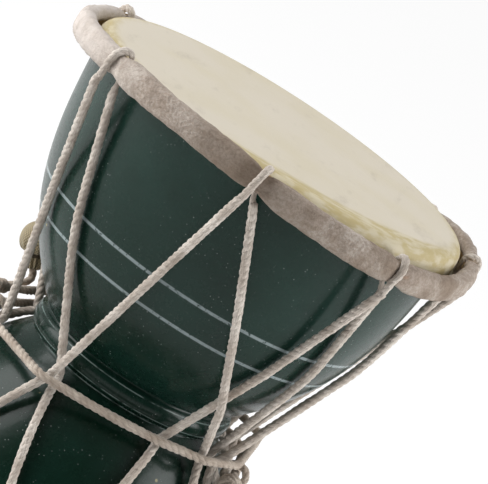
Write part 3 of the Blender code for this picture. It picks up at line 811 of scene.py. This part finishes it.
@dataclass
class Rope:
    """A laid rope: strands that wind round a middle line."""

    name: str
    strands: int = 3
    lay: float = 0.0064
    strand_share: float = 0.63
    offset_share: float = 0.295
    points_a_turn: int = 12
    resolution: int = 1

    def step(self) -> float:
        """The spacing of points along the rope."""
        return self.lay / self.points_a_turn

    def mesh(self, line: np.ndarray, radii: np.ndarray, ring: bool = False) -> bpy.types.Mesh:
        """Winds the strands round a line.

        Args:
            line: Even points along the rope's middle.
            radii: The rope's radius at each.
            ring: Whether the rope closes on itself.

        Returns:
            The strands, as one mesh.
        """
        curve = bpy.data.curves.new(self.name, "CURVE")
        curve.dimensions = "3D"
        curve.bevel_depth = 1.0
        curve.bevel_resolution = self.resolution
        curve.use_fill_caps = True
        sides = self._sides(line)
        turns = len(line) / self.points_a_turn
        if ring:
            turns = max(1.0, round(turns))
        for strand in range(self.strands):
            spline = curve.splines.new("POLY")
            spline.points.add(len(line) - 1)
            spline.use_cyclic_u = ring
            for i, (spot, (side, up)) in enumerate(zip(line, sides)):
                turn = FULL_TURN * (turns * i / len(line) + strand / self.strands)
                reach = radii[i] * self.offset_share
                place = Vector(spot) + (side * math.cos(turn) + up * math.sin(turn)) * reach
                spline.points[i].co = (*place, 1.0)
                spline.points[i].radius = radii[i] * self.strand_share
        mesh = mesh_of(curve)
        self._map(mesh, length_of(line), float(radii.max()) * self.strand_share)
        return mesh

    @staticmethod
    def _map(mesh: bpy.types.Mesh, length: float, radius: float) -> None:
        """Scales the strands' map to metres, along and round each strand."""
        layer = mesh.uv_layers[0]
        layer.name = "yarn"
        spots = np.zeros(2 * len(mesh.loops), dtype=np.float32)
        layer.data.foreach_get("uv", spots)
        spots = spots.reshape(-1, 2) * np.array((length, FULL_TURN * radius), dtype=np.float32)
        layer.data.foreach_set("uv", spots.ravel())

    @staticmethod
    def _sides(line: np.ndarray) -> List[Tuple[Vector, Vector]]:
        """Two directions across the line at each point, which don't twist along it."""
        spots = [Vector(spot) for spot in line]
        along = [(b - a).normalized() for a, b in zip(spots[:-1], spots[1:])]
        along.append(along[-1])
        side = along[0].orthogonal().normalized()
        frames = []
        for direction in along:
            side = (side - direction * side.dot(direction)).normalized()
            frames.append((side.copy(), direction.cross(side)))
        return frames


def mesh_of(curve: bpy.types.Curve) -> bpy.types.Mesh:
    """A curve's tubes as one closed mesh.

    Args:
        curve: The curve, which is used up.

    Returns:
        The mesh.
    """
    guide = bpy.data.objects.new(curve.name, curve)
    bpy.context.scene.collection.objects.link(guide)
    evaluated = guide.evaluated_get(bpy.context.evaluated_depsgraph_get())
    mesh = bpy.data.meshes.new_from_object(evaluated)
    bpy.data.objects.remove(guide, do_unlink=True)
    bpy.data.curves.remove(curve)
    work = bmesh.new()
    work.from_mesh(mesh)
    bmesh.ops.remove_doubles(work, verts=work.verts, dist=MERGE)
    bmesh.ops.recalc_face_normals(work, faces=work.faces)
    work.to_mesh(mesh)
    work.free()
    mesh.shade_smooth()
    return mesh


@dataclass
class Shell:
    """The turned wooden hourglass."""

    knee: Triple = (0.0277, 0.0473, 0.46)
    foot: Triple = (0.0057, 0.0318, 0.95)
    rim: Triple = (0.0777, 0.0571, 0.10)
    bore: Triple = (0.008, 0.021, 0.6)
    bead_radius: float = 0.0315
    groove_radius: float = 0.0294
    groove_height: float = 0.0034
    groove_slope: Tuple[float, float] = (0.0004, 0.0006)
    wall: float = 0.005
    steps: int = 192
    levels: int = 26

    def radius(self, height: float) -> float:
        """The bowl's outer radius at a height above its foot."""
        if height < self.knee[0]:
            return hermite(height, self.foot, self.knee)
        return hermite(height, self.knee, self.rim)

    def _half(self) -> Profile:
        """One bowl's outside, from its rim to the groove."""
        top, radius, _ = self.rim
        lip = SIZES.rim_round
        half: Profile = []
        for degrees in range(90, -1, -30):
            turn = math.radians(degrees)
            half.append((radius - lip + lip * math.cos(turn), top - lip + lip * math.sin(turn)))
        heights = np.linspace(top - lip, self.foot[0], self.levels)
        half += [(self.radius(float(height)), float(height)) for height in heights[1:]]
        out, up = self.groove_slope
        half.append((self.groove_radius + out, self.groove_height + up))
        half.append((self.groove_radius, self.groove_height))
        for share in (0.9, 0.7, 0.45, 0.2):
            bulge = math.sqrt(1.0 - share * share)
            depth = self.bead_radius - self.groove_radius
            half.append((self.groove_radius + depth * bulge, self.groove_height * share))
        return half

    def build(self, palette: Palette) -> bpy.types.Object:
        """Makes the shell.

        Args:
            palette: The finishes.

        Returns:
            The piece.
        """
        half = self._half()
        outer = half + [(self.bead_radius, 0.0)] + [(r, -h) for r, h in reversed(half)]
        inner_knee = (self.knee[0], self.knee[1] - self.wall, self.knee[2])
        inner_rim = (self.rim[0], self.rim[1] - self.wall, self.rim[2])
        bore = [(inner_rim[1], inner_rim[0])]
        for height in np.linspace(self.knee[0], self.bore[0], 6):
            bore.append((hermite(float(height), self.bore, inner_knee), float(height)))
        inner = [(r, -h) for r, h in bore] + list(reversed(bore))
        profile = [(r, h + SIZES.middle) for r, h in outer + inner]
        mesh = spin_mesh("lacquered_shell", profile, self.steps, True)
        piece = add_object("lacquered_shell", mesh, palette.lacquer)
        return seat(piece, Body.DRUM, Slot.LACQUER, "shell")


@dataclass
class Head:
    """A hide head: membrane, side wall and the lap rolled round its hoop."""

    name: str
    side: int
    roll: float
    rises: Stations
    sags: Stations
    seed: float
    steps: int = 300
    rounding: Tuple[float, ...] = (-9.0, -4.5, 0.0, 4.5, 9.0)
    foot_out: float = 0.0003
    foot_round: float = 0.0008
    foot_reach: float = 0.0010
    foot_rise: float = 0.0002
    lap_end: float = 176.0
    lap_top: float = 0.92
    lap_step: float = 12.0
    square: float = 0.74
    swell_scale: float = 55.0
    fold_scale: float = 95.0
    fold_stretch: Tuple[float, float] = (2.4, 0.9)
    fold_depth: float = 0.00034
    fold_share: float = 1.4
    fold_lift: float = 0.35
    gather_depth: float = 0.0007
    gather_turn: float = 90.0
    gather_spread: float = 20.0
    gather_count: float = 27.0
    gather_wander: float = 1.8
    wander_scale: float = 60.0
    pinch_depth: float = 0.0010
    pinch_spread: float = 3.0
    dip_scale: float = 32.0
    dip_depth: float = 0.0003
    dip_calm: float = 0.012

    def _read(self, stations: Stations, azimuth: float) -> float:
        """A value from (azimuth, value) stations, rounded off where they meet."""
        turns, values = zip(*stations)
        around = [azimuth + lean for lean in self.rounding]
        return float(np.mean(np.interp(around, turns, values, period=360.0)))

    def sag(self, azimuth: float) -> float:
        """How far the hide lies from its solid, less than 0 where it hangs between two ropes."""
        return self._read(self.sags, azimuth)

    def roll_height(self, azimuth: float) -> float:
        """How far the roll's middle lies from the mid-plane at an azimuth."""
        return self.roll + self._read(self.rises, azimuth) + self.sag(azimuth)

    def _squared(self, value: float) -> float:
        """A sine or cosine that makes the lap's section flatter than an ellipse."""
        return math.copysign(abs(value) ** self.square, value)

    def _gathers(self, azimuth: float, around: Vector) -> float:
        """How far the hide is drawn into folds at an azimuth."""
        window = math.exp(-(((azimuth - self.gather_turn) / self.gather_spread) ** 2))
        wander = self.gather_wander * noise.noise(around * self.wander_scale)
        wave = math.sin(math.radians(azimuth) * self.gather_count + wander)
        return -abs(wave) * self.gather_depth * window

    def _floor(self) -> float:
        """The height of the hide's middle under the roll."""
        return self.roll - SIZES.lap_half_height + SIZES.skin / 2

    def _line(self) -> Profile:
        """The hide's middle line, from its centre to the end of its lap."""
        top = SIZES.head_height - SIZES.skin / 2
        corner = SIZES.wall_radius - SIZES.head_round
        line: Profile = [(float(r), top) for r in np.linspace(0.0, corner, 14)]
        for degrees in range(15, 91, 15):
            turn = math.radians(degrees)
            reach = SIZES.head_round
            line.append((corner + reach * math.sin(turn), top - reach * (1.0 - math.cos(turn))))
        floor = self._floor()
        start = line[-1][1]
        for share in (0.35, 0.7):
            line.append((SIZES.wall_radius, start + (floor + self.foot_round - start) * share))
        line += [
            (SIZES.wall_radius, floor + self.foot_round),
            (SIZES.wall_radius + self.foot_out, floor + self.foot_rise),
            (SIZES.wall_radius + self.foot_reach, floor),
        ]
        degrees = -90.0
        while degrees <= self.lap_end:
            turn = math.radians(degrees)
            reach = (SIZES.lap_half_width - SIZES.skin / 2) * self._squared(math.cos(turn))
            rise = (SIZES.lap_half_height - SIZES.skin / 2) * self._squared(math.sin(turn))
            rise *= self.lap_top if rise > 0.0 else 1.0
            line.append((SIZES.hoop_radius + reach, self.roll + rise))
            degrees += self.lap_step
        return line

    def _profile(self) -> Profile:
        """The hide's section, with its thickness."""
        line = [Vector(point) for point in self._line()]
        ahead: Profile = []
        behind: Profile = []
        for i, spot in enumerate(line):
            along = (line[min(i + 1, len(line) - 1)] - line[max(i - 1, 0)]).normalized()
            side = Vector((-along.y, along.x)) * SIZES.skin / 2
            if i == 0:
                side = Vector((0.0, SIZES.skin / 2))
            ahead.append((spot.x + side.x, spot.y + side.y))
            behind.append((spot.x - side.x, spot.y - side.y))
        return ahead + list(reversed(behind))

    def _crumple(self, spot: Vector, azimuth: float) -> None:
        """Swells, folds and gathers a point of the lap, and pinches it under the ropes."""
        out = Vector((spot.x, spot.y, 0.0)).normalized()
        around = Vector((spot.x, spot.y, self.seed))
        swell = noise.noise(around * self.swell_scale) * self.fold_depth
        wide, tall = self.fold_stretch
        lean = Vector((spot.x * wide, spot.y * wide, spot.z * tall + self.seed))
        fold = -abs(noise.noise(lean * self.fold_scale)) * self.fold_depth * self.fold_share
        shove = swell + fold + self.fold_depth * self.fold_lift + self._gathers(azimuth, lean)
        near = min(abs((azimuth - hole + 180.0) % 360.0 - 180.0) for hole in SIZES.holes)
        shove -= math.exp(-((near / self.pinch_spread) ** 2)) * self.pinch_depth
        across = Vector((spot.xy.length - SIZES.hoop_radius, spot.z - self.roll))
        if across.length > 0.0:
            across.normalize()
        spot += out * across.x * shove
        spot.z += across.y * shove

    def _shape(self, spot: Vector) -> None:
        """Draws one point of the hide out of true, as the lacing and drying have done."""
        reach = spot.xy.length
        azimuth = azimuth_of(spot)
        flat = SIZES.wall_radius - SIZES.head_round
        share = 1.0
        if reach < SIZES.wall_radius + SIZES.skin:
            crease = SIZES.head_height - SIZES.skin / 2 - SIZES.head_round
            share = clamped((crease - spot.z) / (crease - self._floor() - self.foot_round))
        if reach > SIZES.wall_radius + SIZES.skin:
            self._crumple(spot, azimuth)
        elif reach < flat:
            calm = min(1.0, (flat - reach) / self.dip_calm)
            around = Vector((spot.x, spot.y, self.seed))
            spot.z -= calm * abs(noise.noise(around * self.dip_scale)) * self.dip_depth
        spot.z += share * (self.roll_height(azimuth) - self.roll)
        spot.z = SIZES.middle + self.side * spot.z

    def build(self, palette: Palette) -> bpy.types.Object:
        """Makes the head and the hoop inside it.

        Args:
            palette: The finishes.

        Returns:
            The hide.
        """
        mesh = spin_mesh(self.name + "_hide", self._profile(), self.steps, False, self._shape)
        hide = add_object(self.name + "_hide", mesh, palette.hide)
        self._hoop(palette)
        return seat(hide, Body.DRUM, Slot.HIDE, self.name + "_skin")

    def _hoop(self, palette: Palette) -> bpy.types.Object:
        """Makes the cane ring inside the lap."""
        section: Profile = []
        for degrees in range(0, 360, 30):
            turn = math.radians(degrees)
            radius = SIZES.hoop_radius + SIZES.hoop_half_width * math.cos(turn)
            section.append((radius, self.roll + SIZES.hoop_half_height * math.sin(turn)))

        def bend(spot: Vector) -> None:
            """Lets the ring follow the lap."""
            lift = self.roll_height(azimuth_of(spot)) - self.roll
            spot.z = SIZES.middle + self.side * (spot.z + lift)

        mesh = spin_mesh(self.name + "_ring", section, self.steps // 3, True, bend)
        ring = add_object(self.name + "_ring", mesh, palette.cane)
        return seat(ring, Body.DRUM, Slot.CANE, self.name + "_hoop")


def finish_node(node: str, material: bpy.types.Material) -> None:
    """Gives a node that stays its finish."""
    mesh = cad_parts[node].data
    mesh.materials.clear()
    mesh.materials.append(material)


def spots_of(node: str) -> np.ndarray:
    """A node's corner points, each once."""
    corners = [tuple(vert.co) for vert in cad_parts[node].data.vertices]
    return np.unique(np.round(corners, 7), axis=0)


def axes_of(node: str) -> Tuple[Vector, Vector, float, float]:
    """The middle of a node, and its long or short axis.

    Args:
        node: A turned node.

    Returns:
        Its middle, its axis, its half length and its largest radius.
    """
    spots = spots_of(node)
    middle = (spots.max(axis=0) + spots.min(axis=0)) / 2
    middle = spots.mean(axis=0) * 0.5 + middle * 0.5
    values, vectors = np.linalg.eigh(np.cov((spots - middle).T))
    odd = 2 if values[2] - values[1] > values[1] - values[0] else 0
    axis = vectors[:, odd]
    along = (spots - middle) @ axis
    across = np.linalg.norm((spots - middle) - np.outer(along, axis), axis=1)
    return Vector(middle), Vector(axis), float(np.abs(along).max()), float(across.max())


@dataclass
class Lacing:
    """The ropes of the heads and of the waist, with their knots."""

    heads: Tuple[Head, Head]
    slimness: float = 0.93
    hug: float = 0.0018
    sunk: float = 0.0023
    sunk_from: float = 80.0
    sunk_to: float = 150.0
    near: float = 0.0062
    far: float = 0.0090
    squeeze: float = 0.14
    hole_side: float = 0.0022
    hole_blend: float = 0.0014
    coil_radius: float = 0.0013
    coil_turns: float = 3.4
    coil_spare: float = 0.6
    coil_lay: float = 0.0054
    coil_steps: int = 40
    tuck_steps: int = 16
    tuck_depth: float = 0.6

    def _draw_in(self, line: np.ndarray, radii: np.ndarray) -> None:
        """Beds a rope into the hide where it goes over a roll.

        Args:
            line: The rope's even points, which are moved.
            radii: Its radii, which shrink where it is tight.
        """
        for i, (x, y, z) in enumerate(line):
            side = 1.0 if z > SIZES.middle else -1.0
            head = self.heads[0] if side > 0.0 else self.heads[1]
            reach = math.hypot(x, y)
            azimuth = azimuth_of(Vector((x, y, 0.0)))
            out = reach - SIZES.hoop_radius
            rise = side * (z - SIZES.middle) - head.roll_height(azimuth)
            away = math.hypot(out, rise)
            tight = eased((self.far - away) / (self.far - self.near))
            if tight <= 0.0 or rise < -self.near:
                continue
            gathered = side > 0.0 and self.sunk_from < azimuth < self.sunk_to
            share = tight * (self.sunk if gathered else self.hug) / away
            inward = share * out / reach * eased((out + self.hole_side) / self.hole_blend)
            drop = max(rise, 0.0) * share - tight * head.sag(azimuth)
            line[i] = (x * (1.0 - inward), y * (1.0 - inward), z - side * drop)
            radii[i] *= 1.0 - self.squeeze * tight

    def _rope(self, node: str, material: bpy.types.Material) -> bpy.types.Object:
        """Makes one laid rope along its solid."""
        line = CentreLine(node)
        rope = Rope(node + "_rope")
        spots, radii = smooth_line(line.points, line.radii, rope.step())
        self._draw_in(spots, radii)
        radii *= self.slimness
        piece = add_object(node + "_rope", rope.mesh(spots, radii), material)
        log.info("%s: %.3f m", node, line.length())
        return seat(piece, Body.DRUM, Slot.ROPE, node)

    def _knot(self, node: str, material: bpy.types.Material) -> bpy.types.Object:
        """Makes a barrel knot: a rope wound round itself, with a turn tucked under."""
        middle, axis, half, radius = axes_of(node)
        coil = min(self.coil_radius, half / (self.coil_turns + self.coil_spare))
        reach = radius - coil
        spots = []
        count = int(self.coil_turns * self.coil_steps)
        for i in range(-self.tuck_steps, count + self.tuck_steps + 1):
            tucked = max(-i, i - count, 0) / self.tuck_steps
            out = reach * (1.0 - self.tuck_depth * tucked)
            lift = (half - coil) * (2.0 * clamped(i / count) - 1.0)
            turn = FULL_TURN * self.coil_turns * i / count
            spots.append(middle + axis * lift + round_axis(axis, turn) * out)
        rope = Rope(node + "_coil", lay=self.coil_lay)
        line, radii = smooth_line(spots, [coil] * len(spots), rope.step())
        piece = add_object(node + "_coil", rope.mesh(line, radii), material)
        return seat(piece, Body.DRUM, Slot.ROPE, node)

    def build(self, palette: Palette) -> None:
        """Makes the ropes and knots.

        Args:
            palette: The finishes.
        """
        for node in ("lacing_cord_a", "lacing_cord_b"):
            self._rope(node, palette.rope)
        self._rope("waist_cord", palette.waist_rope)
        for node in ("lacing_knot_a", "lacing_knot_b"):
            self._knot(node, palette.rope)
        for node in ("waist_knot", "waist_tail_knot"):
            self._knot(node, palette.waist_rope)


@dataclass
class Striker:
    """A cloth-covered bead on its cord, hitched round the waist cord."""

    name: str
    body: Body
    hitch_body: Body
    cover_radius: float = 0.0052
    neck_length: float = 0.0085
    neck_radius: float = 0.00235
    tie_place: float = 0.0044
    pleats: int = 11
    pleat_depth: float = 0.00032
    pleat_wander: float = 1.3
    pleat_start: float = 0.001
    pleat_run: float = 0.004
    pleat_core: float = 0.002
    steps: int = 88
    weave_step: float = 0.00095
    tie_turns: int = 3
    tie_steps: int = 26
    tie_width: float = 0.0007
    tie_radius: float = 0.00275
    thread_radius: float = 0.00034
    thread_lay: float = 0.0016
    cord_lay: float = 0.0054
    loop_lay: float = 0.0056

    def _section(self) -> Profile:
        """The bag's section: a ball, the drawn-in neck and the frilled mouth above it."""
        section: Profile = [(0.0, -self.cover_radius)]
        for degrees in range(-83, 37, 7):
            turn = math.radians(degrees)
            section.append((self.cover_radius * math.cos(turn), self.cover_radius * math.sin(turn)))
        neck = self.neck_radius - 0.0002
        return section + [
            (0.0034, self.tie_place - 0.0008),
            (neck + 0.0003, self.tie_place - 0.0003),
            (neck, self.tie_place),
            (neck + 0.0004, self.tie_place + 0.0006),
            (neck + 0.0008, self.tie_place + 0.0018),
            (neck + 0.0005, self.neck_length - 0.0010),
            (neck + 0.0001, self.neck_length),
            (0.0016, self.neck_length - 0.0002),
            (0.0014, self.neck_length - 0.0020),
            (0.0, self.neck_length - 0.0021),
        ]

    def _gather(self, spot: Vector) -> None:
        """Draws one point of the bag into its pleats, which deepen towards the neck."""
        depth = self.pleat_depth * clamped((spot.z + self.pleat_start) / self.pleat_run)
        turn = math.atan2(spot.y, spot.x)
        ripple = math.cos(self.pleats * turn + self.pleat_wander * math.sin(2.0 * turn))
        reach = spot.xy.length
        if reach > 0.0:
            spot.xy *= 1.0 + depth * ripple / max(reach, self.pleat_core)

    def _cover(self, middle: Vector, toward: Vector, palette: Palette) -> bpy.types.Object:
        """Makes the gathered cloth bag."""
        section = list(reversed(self._section()))
        mesh = spin_mesh(self.name + "_bag", section, self.steps, False, self._gather)
        self._map(mesh)
        turned = toward.to_track_quat("Z", "Y").to_matrix().to_4x4()
        mesh.transform(Matrix.Translation(middle) @ turned)
        return add_object(self.name + "_bag", mesh, palette.cloth)

    def _map(self, mesh: bpy.types.Mesh) -> None:
        """Gives the bag a map in threads: round it and along it."""
        layer = mesh.uv_layers.new(name="weave")
        threads = round(FULL_TURN * self.cover_radius / self.weave_step)
        for face in mesh.polygons:
            base = math.atan2(face.center.y, face.center.x)
            for corner in face.loop_indices:
                spot = mesh.vertices[mesh.loops[corner].vertex_index].co
                turn = math.atan2(spot.y, spot.x) if spot.xy.length > MERGE else base
                turn += FULL_TURN * round((base - turn) / FULL_TURN)
                layer.data[corner].uv = (turn / FULL_TURN * threads, spot.z / self.weave_step)

    def _tie(self, middle: Vector, toward: Vector, palette: Palette) -> bpy.types.Object:
        """Makes the thread wound round the bag's neck."""
        spots = []
        count = self.tie_steps * self.tie_turns
        for i in range(count + 1):
            lift = self.tie_place + self.tie_width * (i / count - 0.5)
            turn = FULL_TURN * self.tie_turns * i / count
            spots.append(middle + toward * lift + round_axis(toward, turn) * self.tie_radius)
        thread = Rope(self.name + "_tie", strands=2, lay=self.thread_lay)
        line, radii = smooth_line(spots, [self.thread_radius] * len(spots), thread.step(), 0)
        return add_object(self.name + "_tie", thread.mesh(line, radii), palette.thread)

    def _hitch(self, palette: Palette) -> bpy.types.Object:
        """Makes the loop round the waist cord."""
        node = self.name + "_hitch"
        middle, axis, half, radius = axes_of(node)
        rope = Rope(node + "_loop", lay=self.loop_lay)
        reach = radius - half
        count = int(FULL_TURN * reach / rope.step()) // rope.points_a_turn * rope.points_a_turn
        turns = [FULL_TURN * i / count for i in range(count)]
        line = np.array([tuple(middle + round_axis(axis, turn) * reach) for turn in turns])
        mesh = rope.mesh(line, np.full(count, half), ring=True)
        loop = add_object(node + "_loop", mesh, palette.waist_rope)
        return seat(loop, self.hitch_body, Slot.ROPE, node)

    def build(self, palette: Palette) -> None:
        """Makes the striker: its cord, bag, tie and hitch loop, and gives its core a finish.

        Args:
            palette: The finishes.
        """
        route = CentreLine(self.name + "_cord")
        core = spots_of(self.name + "_core")
        middle = Vector(((core.max(axis=0) + core.min(axis=0)) / 2).tolist())
        if (route.points[0] - middle).length < (route.points[-1] - middle).length:
            route.points.reverse()
            route.radii.reverse()
        toward = (route.points[-1] - middle).normalized()
        rope = Rope(self.name + "_rope", lay=self.cord_lay)
        radius = max(route.radii)
        line, radii = smooth_line(route.points, [radius] * len(route.points), rope.step())
        cord = add_object(self.name + "_rope", rope.mesh(line, radii), palette.waist_rope)
        seat(cord, self.body, Slot.ROPE, self.name + "_cord")
        bag = seat(self._cover(middle, toward, palette), self.body, Slot.CLOTH, self.name + "_cover")
        tie = seat(self._tie(middle, toward, palette), self.body, Slot.THREAD, self.name + "_binding")
        finish_node(self.name + "_core", palette.bead)
        hitch = self._hitch(palette)


@dataclass(frozen=True)
class SoftBox:
    """A soft box that is aimed at the drum."""

    name: str
    spot: Triple
    size: Tuple[float, float]
    power: float

    def build(self, aim: Triple) -> None:
        """Adds the lamp.

        Args:
            aim: What it points at.
        """
        data = bpy.data.lights.new(self.name, "AREA")
        data.shape = "RECTANGLE"
        data.size, data.size_y = self.size
        data.energy = self.power
        lamp = bpy.data.objects.new(self.name, data)
        lamp.location = self.spot
        lamp.rotation_euler = (Vector(aim) - Vector(self.spot)).to_track_quat("-Z", "Y").to_euler()
        bpy.context.scene.collection.objects.link(lamp)


@dataclass
class Studio:
    """The camera, the lights, the pale floor and the sky."""

    roll: float = 33.52
    elevation: float = 12.39
    eye: Triple = (0.00673, -0.9380, 0.3315)
    lens: float = 258.2
    sensor: float = 36.0
    clip: Tuple[float, float] = (0.01, 60.0)
    floor_half: float = 12.0
    floor_drop: float = 0.0002
    floor_colour: Colour = (0.88, 0.88, 0.88)
    floor_white: float = 1.05
    floor_share: float = 0.86
    front: float = 0.05
    behind: float = 0.55
    sky_edge: Tuple[float, float] = (-0.85, 0.1)
    aim: Triple = (0.0, 0.0, 0.10)
    boxes: Tuple[SoftBox, ...] = (
        SoftBox("left_box", (-1.0, -0.14, 0.50), (0.9, 1.1), 13.5),
        SoftBox("right_box", (0.9, -0.12, 0.42), (0.5, 0.9), 7.5),
        SoftBox("top_box", (-0.62, 0.2, 1.05), (0.6, 0.6), 2.6),
    )

    def camera(self) -> None:
        """Sets the photograph's view."""
        data = bpy.data.cameras.new("camera")
        data.lens = self.lens
        data.sensor_width = self.sensor
        data.clip_start, data.clip_end = self.clip
        a = math.radians(self.roll)
        b = math.radians(self.elevation)
        right = Vector((math.cos(a), math.sin(a) * math.sin(b), math.sin(a) * math.cos(b)))
        up = Vector((-math.sin(a), math.cos(a) * math.sin(b), math.cos(a) * math.cos(b)))
        back = Vector((0.0, -math.cos(b), math.sin(b)))
        turned = Matrix((right, up, back)).transposed().to_4x4()
        camera = bpy.data.objects.new("camera", data)
        camera.matrix_world = Matrix.Translation(self.eye) @ turned
        bpy.context.scene.collection.objects.link(camera)
        bpy.context.scene.camera = camera

    def floor(self) -> None:
        """Lays the floor, which the camera sees as white apart from the shadows on it."""
        work = bmesh.new()
        bmesh.ops.create_grid(work, x_segments=2, y_segments=2, size=self.floor_half)
        bmesh.ops.translate(work, verts=work.verts, vec=(0.0, 0.0, -self.floor_drop))
        mesh = bpy.data.meshes.new("floor")
        work.to_mesh(mesh)
        work.free()
        graph = Graph.material("pale_floor")
        graph.surface(Base_Color=self.floor_colour, Roughness=0.9)
        seen = graph.node("LightPath", output="Is Camera Ray")
        white = graph.node("Emission", None, {"Color": WHITE, "Strength": self.floor_white})
        body = Socket(graph, graph.shader.outputs[0])
        mixed = graph.node("MixShader", None, {0: seen * self.floor_share, 1: body, 2: white})
        output = graph.tree.nodes["Material Output"]
        graph.feed(output.inputs["Surface"], mixed)
        add_object("floor", mesh, graph.owner)

    def sky(self) -> None:
        """Sets a white surround that is dim on the camera's side."""
        world = bpy.data.worlds.new("studio")
        graph = Graph(world, "Background")
        _, ahead, _ = graph.split(graph.node("TexCoord", output="Generated"))
        lit = ahead.ramp(*self.sky_edge, self.front, self.behind)
        seen = graph.node("LightPath", output="Is Camera Ray")
        graph.surface(Color=WHITE, Strength=lit.highest(seen))
        bpy.context.scene.world = world

    def build(self) -> None:
        """Makes the whole studio."""
        bpy.context.scene.view_settings.view_transform = "Standard"
        self.camera()
        self.floor()
        self.sky()
        for box in self.boxes:
            box.build(self.aim)


def main() -> None:
    """Builds the studio and every piece of the drum."""
    logging.basicConfig(level=logging.INFO, format="%(name)s: %(message)s")
    Studio().build()
    palette = Palette()
    Shell().build(palette)
    upper = Head("upper", 1, SIZES.upper_roll, UPPER_ROLL_RISES, UPPER_ROLL_SAGS, 0.0)
    lower = Head("lower", -1, SIZES.lower_roll, LEVEL_ROLL, LEVEL_ROLL, 0.37)
    upper.build(palette)
    lower.build(palette)
    Lacing((upper, lower)).build(palette)
    Striker("striker_a", Body.STRIKER_A, Body.DRUM).build(palette)
    Striker("striker_b", Body.STRIKER_B, Body.STRIKER_B).build(palette)


if __name__ == "__main__":
    main()
